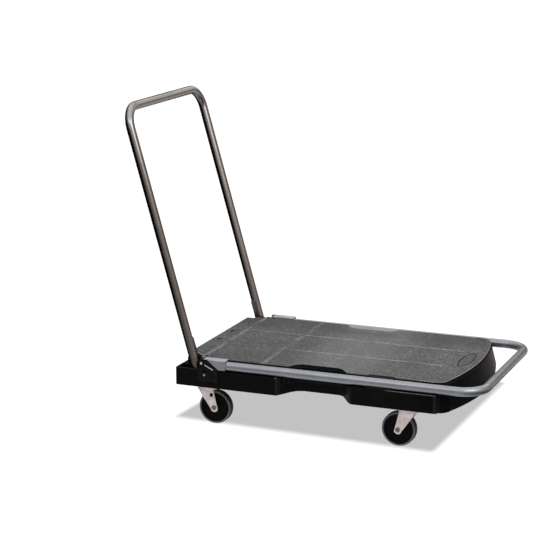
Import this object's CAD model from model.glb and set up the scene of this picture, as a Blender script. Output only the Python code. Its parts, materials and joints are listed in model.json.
# A platform hand truck: a grey deck on a black moulded base, rolling on casters, with a bronze
# tube handle at the rear. X runs along the deck from the handle (-X) to the nose (+X), Y across
# it and Z up from the floor. The camera stands on the -Y side, so "near" is -Y and "far" is +Y.
import bpy
import bmesh
import json
import math
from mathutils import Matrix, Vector

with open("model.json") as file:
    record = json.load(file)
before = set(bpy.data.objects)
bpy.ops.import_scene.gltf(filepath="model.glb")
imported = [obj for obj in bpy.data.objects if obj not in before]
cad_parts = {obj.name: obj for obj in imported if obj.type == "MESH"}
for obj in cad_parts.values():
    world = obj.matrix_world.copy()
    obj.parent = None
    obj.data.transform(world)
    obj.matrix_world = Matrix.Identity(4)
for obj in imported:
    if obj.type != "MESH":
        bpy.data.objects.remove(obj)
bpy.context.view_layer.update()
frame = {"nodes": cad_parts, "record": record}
SCENE = bpy.context.scene

DATUM_X = 0.2939    # distance from the handle datum to the frame origin


def along(distance):
    """Frame x of a place measured from the handle datum towards the nose."""
    return distance - DATUM_X


def grey(level):
    return (level, level, level)


# ---------------------------------------------------------------- shader graph helpers
class Signal:
    """A node output. Arithmetic and methods on it add the nodes that follow."""

    def __init__(self, graph, socket):
        self.graph = graph
        self.socket = socket

    def __add__(self, other):
        return self.graph.math("ADD", self, other)

    def __sub__(self, other):
        return self.graph.math("SUBTRACT", self, other)

    def __rsub__(self, other):
        return self.graph.math("SUBTRACT", other, self)

    def __mul__(self, other):
        return self.graph.math("MULTIPLY", self, other)

    def __abs__(self):
        return self.graph.math("ABSOLUTE", self)

    def xyz(self):
        node = self.graph.node("SeparateXYZ", {0: self})
        return [Signal(self.graph, socket) for socket in node.outputs]

    def remap(self, over, to=(0.0, 1.0), kind="LINEAR"):
        inputs = {"From Min": over[0], "From Max": over[1],
                  "To Min": to[0], "To Max": to[1], "Value": self}
        return self.graph.output("MapRange", "Result", inputs, interpolation_type=kind)

    def band(self, centre, half, soft):
        """1 within half of the centre, falling to 0 over soft."""
        return abs(self - centre).remap(over=(half, half + soft), to=(1.0, 0.0),
                                        kind="SMOOTHSTEP")

    def noise(self, scale, detail, rough, distortion=0.0):
        inputs = {"Scale": scale, "Detail": detail, "Roughness": rough,
                  "Distortion": distortion, "Vector": self}
        return self.graph.output("TexNoise", "Fac", inputs)

    def ramp(self, *stops):
        """Colour ramp through (position, colour) stops."""
        node = self.graph.node("ValToRGB", {"Fac": self})
        elements = node.color_ramp.elements
        for element, (place, colour) in zip(elements, (stops[0], stops[-1])):
            element.position = place
            element.color = (*colour, 1)
        for place, colour in stops[1:-1]:
            elements.new(place).color = (*colour, 1)
        return Signal(self.graph, node.outputs["Color"])

    def paint(self, amount, colour):
        return self.graph.mix(amount, self, colour)

    def tint(self, value, *stops):
        """Multiply by a ramp of another value."""
        return self.graph.mix(1.0, self, value.ramp(*stops), "MULTIPLY")

    def bump(self, strength, distance, normal=None):
        inputs = {"Strength": strength, "Distance": distance, "Height": self, "Normal": normal}
        return self.graph.output("Bump", "Normal", inputs)


class Graph:
    """The node tree of a material or world, emptied and ready to fill."""

    def __init__(self, owner):
        owner.use_nodes = True
        self.nodes = owner.node_tree.nodes
        self.links = owner.node_tree.links
        self.nodes.clear()

    def feed(self, node, inputs):
        """Link signals and set plain values; None leaves an input alone."""
        for key, value in inputs.items():
            socket = node.inputs[key]
            if isinstance(value, Signal):
                self.links.new(value.socket, socket)
            elif value is not None:
                socket.default_value = (*value, 1) if socket.type == "RGBA" else value

    def node(self, kind, inputs=(), **props):
        node = self.nodes.new("ShaderNode" + kind)
        for name, value in props.items():
            setattr(node, name, value)
        self.feed(node, dict(inputs))
        return node

    def output(self, kind, name, inputs=(), **props):
        return Signal(self, self.node(kind, inputs, **props).outputs[name])

    def math(self, operation, first, second=None):
        return self.output("Math", 0, {0: first, 1: second}, operation=operation)

    def mix(self, amount, start, end, mode="MIX"):
        # inputs 6 and 7 and output 2 are the colour sockets
        return self.output("Mix", 2, {0: amount, 6: start, 7: end},
                           data_type="RGBA", blend_type=mode)

    def position(self, scale=(1, 1, 1)):
        place = self.output("TexCoord", "Object")
        return self.output("Mapping", "Vector", {"Scale": scale, "Vector": place})

    def normal(self):
        return self.output("NewGeometry", "Normal")

    def edge_mask(self, radius):
        """1 along sharp edges, where bevelled and true normals differ; and the bevelled normal."""
        bevelled = self.output("Bevel", "Normal", {"Radius": radius}, samples=4)
        agreement = self.output("VectorMath", "Value", {0: bevelled, 1: self.normal()},
                                operation="DOT_PRODUCT")
        return (1.0 - agreement).remap(over=(0.02, 0.25)), bevelled


def new_material(name, kind="BsdfPrincipled"):
    material = bpy.data.materials.new(name)
    graph = Graph(material)
    surface = graph.node("OutputMaterial")
    graph.shader = graph.node(kind)
    graph.links.new(graph.shader.outputs[0], surface.inputs["Surface"])
    return material, graph


# ---------------------------------------------------------------- grey deck
# rear to front: distance of each cross rib from the datum, amount of wear
RIB_WEAR = ((0.018, 0.34), (0.190, 0.26), (0.362, 0.12), (0.520, 0.08))


def deck_grain(graph):
    """Grained grey, with the two noises that the wear reuses."""
    swirl = graph.position((1.0, 1.4, 1.0)).noise(scale=5.0, detail=5.0, rough=0.6, distortion=1.2)
    cloud = graph.position((1.0, 0.6, 1.0)).noise(scale=26.0, detail=4.0, rough=0.6,
                                                  distortion=0.8)
    speckle = graph.position((1.0, 0.38, 1.0)).noise(scale=190.0, detail=3.0, rough=0.62,
                                                     distortion=0.4)
    fine = graph.position((1.0, 0.45, 1.0)).noise(scale=300.0, detail=2.0, rough=0.6)
    colour = swirl.ramp((0.32, (0.100, 0.0985, 0.101)), (0.5, (0.117, 0.1155, 0.118)),
                        (0.68, (0.136, 0.1345, 0.138)))
    colour = colour.tint(cloud, (0.34, grey(0.92)), (0.66, grey(1.07)))
    colour = colour.tint(speckle, (0.36, (0.52, 0.51, 0.505)), (0.5, grey(0.96)),
                         (0.64, (1.46, 1.47, 1.49)))
    return colour.tint(fine, (0.34, grey(0.80)), (0.66, grey(1.20))), cloud, speckle


def deck_fading(colour, x, y):
    """Duller along both sides, most in a far strip; lighter over the hand-holds."""
    dull = y.remap(over=(0.085, 0.16), to=(0.0, 0.42)) + y.remap(over=(-0.16, -0.09),
                                                                 to=(0.18, 0.0))
    strip = (y.band(centre=0.158, half=0.010, soft=0.022)
             * x.band(centre=along(0.345), half=0.060, soft=0.045))
    colour = colour.paint(dull + strip * 0.40, (0.05, 0.047, 0.047))
    field = x.band(centre=along(0.378), half=0.050, soft=0.105)
    return colour.paint(field * 0.20, (0.36, 0.355, 0.365))


def deck_rib_wear(colour, x, cloud):
    for distance, amount in RIB_WEAR:
        stripe = x.band(centre=along(distance), half=0.0016, soft=0.0075)
        patchy = cloud.remap(over=(0.40, 0.6), to=(0.2 * amount, 1.4 * amount))
        colour = colour.paint(stripe * patchy, (0.42, 0.42, 0.425))
    return colour


def deck_flanks(graph, colour, x, up, normal_y):
    """Near-black side faces, brownish on the far side of the nose."""
    dusty = x.remap(over=(0.33, 0.40)) * normal_y.remap(over=(-0.1, 0.6))
    return graph.mix(up, graph.mix(dusty, grey(0.007), (0.110, 0.088, 0.074)), colour)


def deck_recesses(colour, x, y, z):
    """Dark rear screw counterbores and the dark floor of the oval recess."""
    hole = (x.band(centre=along(-0.015), half=0.0060, soft=0.0008)
            * abs(y).band(centre=0.045, half=0.0060, soft=0.0008))
    colour = colour.paint(hole * 1.0, grey(0.003))
    oval = (x.band(centre=along(0.682), half=0.0180, soft=0.001)
            * z.remap(over=(0.19355, 0.19385), to=(1.0, 0.0)))
    return colour.paint(oval * 0.85, grey(0.008))


def deck_long_lines(colour, x, y, cloud):
    """Clear wear on the two long ribs; the near one is fainter towards the rear."""
    seam = abs(y).band(centre=0.078, half=0.0013, soft=0.0012)
    seam = seam * x.band(centre=along(0.3425), half=0.305, soft=0.012)
    seam = seam * cloud.remap(over=(0.38, 0.6), to=(0.45, 0.95))
    faint = (x.remap(over=(along(0.17), along(0.25)), to=(0.75, 0.0))
             * y.remap(over=(-0.01, 0.01), to=(1.0, 0.0)))
    return colour.paint(seam * (1.0 - faint) * 0.85, (0.48, 0.48, 0.485))


def deck_front_lip(colour, x, normal_z):
    """Scuffs where the front edge rounds over."""
    rim = normal_z.remap(over=(0.45, 0.75)) * normal_z.remap(over=(0.985, 0.997), to=(1.0, 0.0))
    rim = rim * x.remap(over=(0.30, 0.36))
    return colour.paint(rim * 0.8, (0.40, 0.355, 0.345))


def deck_material():
    material, graph = new_material("deck_grey_grain")
    position = graph.position()
    x, y, z = position.xyz()
    normal = graph.normal()
    normal_z = normal.xyz()[2]
    # upward faces, and everything above the deck field, such as the low sides of the ribs
    up = graph.math("MAXIMUM", normal_z.remap(over=(0.25, 0.6)), z.remap(over=(0.1934, 0.1939)))

    colour, cloud, speckle = deck_grain(graph)
    colour = deck_fading(colour, x, y)
    colour = deck_rib_wear(colour, x, cloud)
    colour = deck_flanks(graph, colour, x, up, normal.xyz()[1])
    colour = deck_recesses(colour, x, y, z)
    colour = deck_long_lines(colour, x, y, cloud)
    colour = deck_front_lip(colour, x, normal_z)
    edges, bevelled = graph.edge_mask(radius=0.0018)
    worn = edges * speckle.remap(over=(0.4, 0.62), to=(0.15, 0.8))
    colour = colour.paint(worn * 0.22, (0.26, 0.255, 0.255))

    pebble = graph.output("TexVoronoi", "Distance", {"Scale": 650.0, "Vector": position},
                          feature="F1")
    relief = pebble.bump(strength=0.35, distance=0.0006, normal=bevelled)
    graph.feed(graph.shader, {
        "Base Color": colour,
        "Roughness": speckle.remap(over=(0.3, 0.7), to=(0.50, 0.66)),
        "Specular IOR Level": up.remap(over=(0.0, 1.0), to=(0.05, 0.2)),
        "Normal": speckle.bump(strength=0.2, distance=0.0014, normal=relief),
    })
    return material


# ---------------------------------------------------------------- moulded plastics
BODY_SPECULAR = 0.05


def body_sheen(graph, position, colour, blotch):
    """Soft sheen on the near side's vertical corners and along parts of the ledge edge."""
    x, y, z = position.xyz()
    normal_y = graph.normal().xyz()[1]
    turn = (x.band(centre=along(0.240), half=0.002, soft=0.005)
            + x.band(centre=along(0.672), half=0.003, soft=0.005))
    turn = turn * normal_y.remap(over=(-0.35, -0.6))
    turn = turn * blotch.remap(over=(0.35, 0.6), to=(0.6, 1.0))
    colour = colour.paint(turn, (0.016, 0.016, 0.0165))
    lip = (z.band(centre=0.1655, half=0.0010, soft=0.0012)
           * abs(y).band(centre=0.2590, half=0.0016, soft=0.0016))
    stretch = (x.band(centre=along(0.606), half=0.060, soft=0.012)
               + x.band(centre=along(0.239), half=0.004, soft=0.004))
    return colour.paint(lip * stretch, (0.13, 0.13, 0.135))


def body_finish(graph, position, colour, blotch):
    """Sheen, brownish dust on the far flank of the nose, and a duller nose."""
    colour = body_sheen(graph, position, colour, blotch)
    x = position.xyz()[0]
    normal_y = graph.normal().xyz()[1]
    dust = x.remap(over=(0.36, 0.39)) * normal_y.remap(over=(-0.05, 0.6))
    dust = dust * blotch.remap(over=(0.35, 0.6), to=(0.5, 1.0))
    # this link takes over from the plain specular value
    graph.feed(graph.shader, {"Specular IOR Level": x.remap(
        over=(0.32, 0.37), to=(BODY_SPECULAR, BODY_SPECULAR * 0.4))})
    return colour.paint(dust, (0.105, 0.080, 0.060))


def moulding(name, base, specular, rough, scale, edge=(0.05, 0.05, 0.052), edge_amount=0.3,
             finish=None):
    """Blotchy plastic of a base grey level, with edges worn to the edge colour."""
    material, graph = new_material(name)
    position = graph.position()
    blotch = position.noise(scale=9.0 * scale, detail=4.0, rough=0.6, distortion=0.8)
    fine = position.noise(scale=700.0 * scale, detail=3.0, rough=0.6)
    colour = blotch.ramp((0.3, grey(base * 0.75)), (0.7, grey(base * 1.35)))
    if finish:
        colour = finish(graph, position, colour, blotch)
    edges, bevelled = graph.edge_mask(radius=0.0022)
    patchy = position.noise(scale=45.0, detail=4.0, rough=0.6, distortion=0.3)
    edges = edges * patchy.remap(over=(0.38, 0.62), to=(0.35, 1.0))
    graph.feed(graph.shader, {
        "Base Color": colour.paint(edges * edge_amount, edge),
        "Roughness": blotch.remap(over=(0.3, 0.7), to=rough),
        "Specular IOR Level": specular,
        "Normal": fine.bump(strength=0.18, distance=0.0005, normal=bevelled),
    })
    return material


def tyre_material():
    """Dusty grey-green sidewalls and a dark tread."""
    material, graph = new_material("tyre_rubber")
    position = graph.position()
    sideways = abs(graph.output("TexCoord", "Normal").xyz()[1])
    dust = position.noise(scale=60.0, detail=5.0, rough=0.65, distortion=0.4)
    fine = position.noise(scale=900.0, detail=3.0, rough=0.6)
    wall = dust.ramp((0.3, (0.075, 0.090, 0.083)), (0.72, (0.120, 0.138, 0.128)))
    tread = dust.ramp((0.3, (0.008, 0.009, 0.009)), (0.72, (0.024, 0.026, 0.025)))
    graph.feed(graph.shader, {
        "Base Color": graph.mix(sideways.remap(over=(0.25, 0.7)), tread, wall),
        "Roughness": dust.remap(over=(0.3, 0.7), to=(0.48, 0.70)),
        "Specular IOR Level": 0.3,
        "Normal": fine.bump(strength=0.25, distance=0.0004),
    })
    return material


# ---------------------------------------------------------------- metals
def saddle_top(graph, position, colour):
    """Brighter upward faces."""
    normal_z = graph.normal().xyz()[2]
    return colour.paint(normal_z.remap(over=(0.6, 0.9)), (0.78, 0.81, 0.83))


def steel_line(graph, position, colour):
    """A thin bright line, slanting in the XZ plane."""
    centre_x, centre_z = along(0.0463), 0.1743
    run_x, run_z = 0.8965, -0.4430      # direction of the line
    x, _, z = position.xyz()
    offset_x, offset_z = x - centre_x, z - centre_z
    lengthwise = offset_x * run_x + offset_z * run_z
    across = offset_x * -run_z + offset_z * run_x
    line = (lengthwise.band(centre=0.0, half=0.0125, soft=0.002)
            * across.band(centre=0.0, half=0.0007, soft=0.0006))
    return colour.paint(line, grey(0.62))


def bolt_centre(graph, position, colour):
    """Black outside a small bright disc round the bolt's axis."""
    x, _, z = position.xyz()
    offset_x, offset_z = x - along(0.0260), z - 0.1845
    radius = graph.math("SQRT", offset_x * offset_x + offset_z * offset_z)
    return graph.mix(radius.band(centre=0.0, half=0.0031, soft=0.0006), grey(0.006), colour)


def handle_lacquer(graph, position, colour):
    """Darker on the flank away from the light, lighter where it faces it."""
    _, y, z = position.xyz()
    normal_x, normal_y, _ = graph.normal().xyz()
    turn = normal_x * 0.927 + normal_y * 0.374      # how far the surface faces the light's way
    far = y.remap(over=(0.0, 0.1))
    near = y.remap(over=(-0.1, 0.0), to=(1.0, 0.0))
    far_glow = (far * z.remap(over=(0.25, 0.60), to=(0.3, 1.0))
                * turn.band(centre=0.10, half=0.25, soft=0.45))
    near_glow = (near * z.remap(over=(0.66, 0.84), to=(0.0, 1.2))
                 * turn.band(centre=0.12, half=0.25, soft=0.40))
    colour = colour.paint(far_glow * 0.42, (0.60, 0.585, 0.57))
    colour = colour.paint(near_glow * 0.45, (0.62, 0.615, 0.60))
    # the shade weakens towards the top of the handle
    shade = (turn.remap(over=(-0.30, -0.78), to=(0.0, 0.93))
             * z.remap(over=(0.915, 0.945), to=(1.0, 0.15)))
    colour = colour.paint(shade, (0.004, 0.003, 0.003))
    low_shade = (turn.remap(over=(0.70, 0.95), to=(0.0, 0.50)) * near
                 * z.remap(over=(0.45, 0.75), to=(1.0, 0.0)))
    tint = graph.mix(shade, grey(1.0), (0.05, 0.045, 0.04))
    graph.feed(graph.shader, {"Specular Tint": tint})
    return colour.paint(low_shade, (0.02, 0.018, 0.016))


def metal(name, dark, light, rough, metallic=0.9, streak_axis=None, grain=220.0,
          edge=(0.75, 0.75, 0.74), edge_amount=0.25, relief=0.05, specular=0.5,
          blotch_scale=24.0, mottle=0.07, tube=False, finish=None):
    """Blotches from dark to light, fine mottle drawn out along streak_axis, bright edges.

    A tube has no edges to brighten. The finish function recolours places of its own.
    """
    material, graph = new_material(name)
    position = graph.position()
    blotch = position.noise(scale=blotch_scale, detail=5.0, rough=0.6, distortion=0.5)
    grain_scale = [grain, grain, grain]
    if streak_axis is not None:
        grain_scale[streak_axis] = grain * 0.03
    fine = graph.position(grain_scale).noise(scale=1.0 if streak_axis is None else 6.0,
                                             detail=3.0, rough=0.6)
    colour = blotch.ramp((0.3, dark), (0.7, light))
    colour = colour.tint(fine, (0.3, grey(1.0 - mottle)), (0.7, grey(1.0 + mottle)))
    bevelled = None
    if not tube:
        edges, bevelled = graph.edge_mask(radius=0.0012)
        colour = colour.paint(edges * edge_amount, edge)
    if finish:
        colour = finish(graph, position, colour)
    graph.feed(graph.shader, {
        "Base Color": colour,
        "Metallic": metallic,
        "Specular IOR Level": specular,
        "Roughness": (blotch.remap(over=(0.3, 0.7), to=rough)
                      + fine.remap(over=(0.3, 0.7), to=(-0.03, 0.04))),
        "Normal": fine.bump(strength=relief, distance=0.0004, normal=bevelled),
    })
    return material


# ---------------------------------------------------------------- materials by slot
BOLTS = "pivot_bolts"       # the one node with a material of its own, whatever its slot
MATERIALS = {
    "grey_deck": deck_material(),
    "black_moulding": moulding(
        "black_moulding", base=0.0036, specular=BODY_SPECULAR, rough=(0.34, 0.50), scale=1.0,
        edge=grey(0.14), edge_amount=0.55, finish=body_finish),
    "black_plastic": moulding(
        "black_plastic", base=0.005, specular=0.14, rough=(0.35, 0.5), scale=2.0),
    "rail_steel": metal(
        "rail_silver", dark=(0.31, 0.325, 0.35), light=(0.37, 0.385, 0.41), rough=(0.28, 0.35),
        metallic=0.8, streak_axis=0, grain=260.0, relief=0.02, mottle=0.05, tube=True),
    "handle_bronze": metal(
        "handle_bronze", dark=(0.222, 0.202, 0.190), light=(0.262, 0.242, 0.228),
        rough=(0.20, 0.26), metallic=0.98, streak_axis=2, grain=120.0, relief=0.003,
        mottle=0.02, tube=True, finish=handle_lacquer),
    "saddle_steel": metal(
        "saddle_steel", dark=(0.36, 0.39, 0.42), light=(0.46, 0.49, 0.52), rough=(0.30, 0.44),
        metallic=0.85, streak_axis=0, grain=300.0, finish=saddle_top),
    "black_steel": metal(
        "black_steel", dark=grey(0.004), light=grey(0.008), rough=(0.38, 0.5), metallic=0.0,
        grain=400.0, edge=(0.10, 0.09, 0.085), edge_amount=0.12, specular=0.10,
        finish=steel_line),
    BOLTS: metal(
        "bolt_black_bright_centre", dark=grey(0.62), light=(0.80, 0.80, 0.79),
        rough=(0.25, 0.36), metallic=0.5, grain=300.0, edge_amount=0.0, finish=bolt_centre),
    "zinc_steel": metal(
        "zinc_bright", dark=grey(0.50), light=(0.68, 0.68, 0.67), rough=(0.20, 0.34),
        metallic=1.0, grain=300.0),
    "axle_steel": metal(
        "axle_dull_zinc", dark=(0.15, 0.118, 0.098), light=(0.28, 0.225, 0.19),
        rough=(0.25, 0.4), metallic=0.8, grain=300.0, edge=(0.75, 0.70, 0.66), edge_amount=0.5),
    "caster_zinc": metal(
        "caster_zinc", dark=(0.60, 0.525, 0.505), light=(0.88, 0.80, 0.785), rough=(0.40, 0.55),
        metallic=0.3, streak_axis=2, grain=90.0, mottle=0.16, blotch_scale=55.0,
        edge=(0.95, 0.92, 0.88)),
    "spring_steel": metal(
        "spring_steel", dark=grey(0.30), light=(0.45, 0.45, 0.44), rough=(0.25, 0.4),
        metallic=1.0, grain=500.0),
    "dark_screw": metal(
        "dark_screw", dark=grey(0.006), light=grey(0.012), rough=(0.35, 0.5), metallic=0.2,
        grain=500.0, edge=grey(0.12), edge_amount=0.15, specular=0.2),
    "nylon": moulding(
        "nylon", base=0.5, specular=0.4, rough=(0.35, 0.5), scale=3.0, edge=(0.7, 0.69, 0.66),
        edge_amount=0.2),
    "tyre_rubber": tyre_material(),
    "wheel_plastic": moulding(
        "wheel_core", base=0.0022, specular=0.06, rough=(0.30, 0.45), scale=3.0,
        edge=grey(0.03)),
}

for part in frame["record"]["subparts"]:
    key = BOLTS if part["node"] == BOLTS else part["material_slot"]
    slots = frame["nodes"][part["node"]].data.materials
    slots.clear()
    slots.append(MATERIALS[key])


# ---------------------------------------------------------------- floor
WHITE_LEVEL = 1.12      # floor and world as the camera sees them
# sides of the drawn shadow: x and y of a point on it, x and y of its inward normal, softness
SHADOW_SIDES = (
    (along(0.2825), -0.2000, 0.0388, 0.99925, 0.028),
    (along(0.6600), 0.0, -1.0, 0.012, 0.014),
    (along(-0.0865), -0.105, 1.0, -0.047, 0.014),
    (along(0.3), 0.480, 0.0, -1.0, 0.02),
)


def drawn_shadow(x, y):
    """1 inside the soft-edged rectangle, 0 outside."""
    sides = []
    for point_x, point_y, normal_x, normal_y, soft in SHADOW_SIDES:
        depth = (x - point_x) * normal_x + (y - point_y) * normal_y
        sides.append(depth.remap(over=(-soft, soft), kind="SMOOTHSTEP"))
    shadow = sides[0]
    for side in sides[1:]:
        shadow = shadow * side
    return shadow


def floor_material():
    """White with a drawn shadow for the camera; a calm, dimmer floor for all other rays."""
    material, graph = new_material("floor_white", "Emission")
    x, y, _ = graph.position().xyz()
    shadow = drawn_shadow(x, y)
    camera_ray = graph.output("LightPath", "Is Camera Ray")
    seen = shadow.remap(over=(0.0, 1.0), to=(WHITE_LEVEL, 0.539))
    left = x.remap(over=(-1.05, -0.62), to=(0.004, 0.30))
    right = x.remap(over=(0.50, 0.66), to=(1.0, 0.12))
    pool = (x.band(centre=0.00, half=0.40, soft=0.20)
            * y.band(centre=-0.05, half=0.42, soft=0.30))
    far = y.remap(over=(0.40, 0.90), to=(0.0, 0.55)) * x.remap(over=(-0.8, -0.2))
    glow = left * right + pool * 0.32 + far
    glow = glow * shadow.remap(over=(0.0, 1.0), to=(1.0, 0.62))
    graph.feed(graph.shader, {"Strength": camera_ray * seen + (1.0 - camera_ray) * glow})
    return material


def build_floor():
    grid = bmesh.new()
    bmesh.ops.create_grid(grid, x_segments=2, y_segments=2, size=40.0)
    mesh = bpy.data.meshes.new("floor")
    grid.to_mesh(mesh)
    grid.free()
    floor = bpy.data.objects.new("floor", mesh)
    SCENE.collection.objects.link(floor)
    floor.location = (0, 0, -0.0005)
    mesh.materials.append(floor_material())


# ---------------------------------------------------------------- world
def build_world():
    """White for the camera; a studio for other rays, with a bright ceiling and a black left."""
    world = bpy.data.worlds.new("studio")
    SCENE.world = world
    graph = Graph(world)
    x, y, z = graph.output("TexCoord", "Generated").xyz()
    colour = z.remap(over=(-0.2, 1.0)).ramp(
        (0.0, (0.42, 0.37, 0.34)), (0.17, (0.60, 0.53, 0.49)), (0.33, (0.58, 0.53, 0.50)),
        (0.50, (0.60, 0.58, 0.57)), (0.70, (0.84, 0.85, 0.86)), (1.0, (1.0, 1.02, 1.05)))
    # brightness rises towards the near right, and to full overhead
    side = (x * 0.82 + y * -0.57).remap(over=(-0.10, 0.75), to=(0.008, 1.0))
    high = z.remap(over=(0.14, 0.55))
    colour = colour.tint(side + high * (1.0 - side), (0.0, grey(0.0)), (1.0, grey(1.0)))
    back = y.remap(over=(0.45, 0.85)) * x.remap(over=(-0.62, -0.15))
    back = back * z.remap(over=(0.45, 0.75), to=(1.0, 0.0))
    colour = colour.paint(back, (0.20, 0.19, 0.175))
    studio = graph.output("Background", 0, {"Color": colour, "Strength": 1.0})
    white = graph.output("Background", 0, {"Color": grey(1), "Strength": WHITE_LEVEL})
    camera_ray = graph.output("LightPath", "Is Camera Ray")
    surface = graph.output("MixShader", 0, {0: camera_ray, 1: studio, 2: white})
    graph.node("OutputWorld", {"Surface": surface})


# ---------------------------------------------------------------- lights
def panel_energy(radiance, width, height):
    return radiance * math.pi * width * height


def area_light(name, location, target, width, height, energy, colour=(1, 1, 1)):
    light = bpy.data.lights.new(name, "AREA")
    light.energy = energy
    light.color = colour
    light.shape = "RECTANGLE"
    light.size = width
    light.size_y = height
    panel = bpy.data.objects.new(name, light)
    SCENE.collection.objects.link(panel)
    panel.location = location
    panel.rotation_mode = "QUATERNION"
    aim = Vector(target) - Vector(location)
    panel.rotation_quaternion = aim.to_track_quat("-Z", "Y")
    return panel


def build_lights():
    strip_target = Vector((0.45, -0.2, 0.18))
    strip_distance = 2.0
    towards_strip = Vector((-0.30, -0.60, 0.74)).normalized()
    area_light("strip_high", location=strip_target + towards_strip * strip_distance,
               target=strip_target, width=0.95, height=0.40,
               energy=panel_energy(radiance=1.6, width=0.95, height=0.40))
    area_light("tall_right", location=(1.70, -1.05, 1.95), target=(-0.35, -0.1, 0.95),
               width=1.6, height=1.45, colour=(0.98, 1.0, 0.98),
               energy=panel_energy(radiance=2.3, width=1.6, height=1.45))
    backdrop = area_light("backdrop_high", location=(0.30, 2.0, 1.66), target=(0.30, 0.0, 1.40),
                          width=2.4, height=1.0, colour=(1.0, 0.97, 0.92),
                          energy=panel_energy(radiance=1.05, width=2.4, height=1.0))
    backdrop.visible_camera = False
    fill = area_light("fill_low", location=(0.6, -3.0, 0.45), target=(0.1, -0.2, 0.1),
                      width=1.6, height=0.9, energy=24.0)
    fill.visible_glossy = False


# ---------------------------------------------------------------- camera
def build_camera():
    lens = bpy.data.cameras.new("camera")
    lens.sensor_width = 36.0
    lens.lens = 122.484
    lens.clip_start = 0.1
    lens.clip_end = 200.0
    camera = bpy.data.objects.new("camera", lens)
    SCENE.collection.objects.link(camera)
    yaw = math.radians(21.9694)         # turned from +Y towards -X
    pitch = math.radians(12.6963)       # tilted down
    forward = Vector((-math.sin(yaw) * math.cos(pitch), math.cos(yaw) * math.cos(pitch),
                      -math.sin(pitch)))
    camera.location = (1.63334, -4.51225, 1.49640)
    camera.rotation_mode = "QUATERNION"
    camera.rotation_quaternion = forward.to_track_quat("-Z", "Y")
    SCENE.camera = camera


build_floor()
build_world()
build_lights()
build_camera()
SCENE.view_settings.view_transform = "Standard"
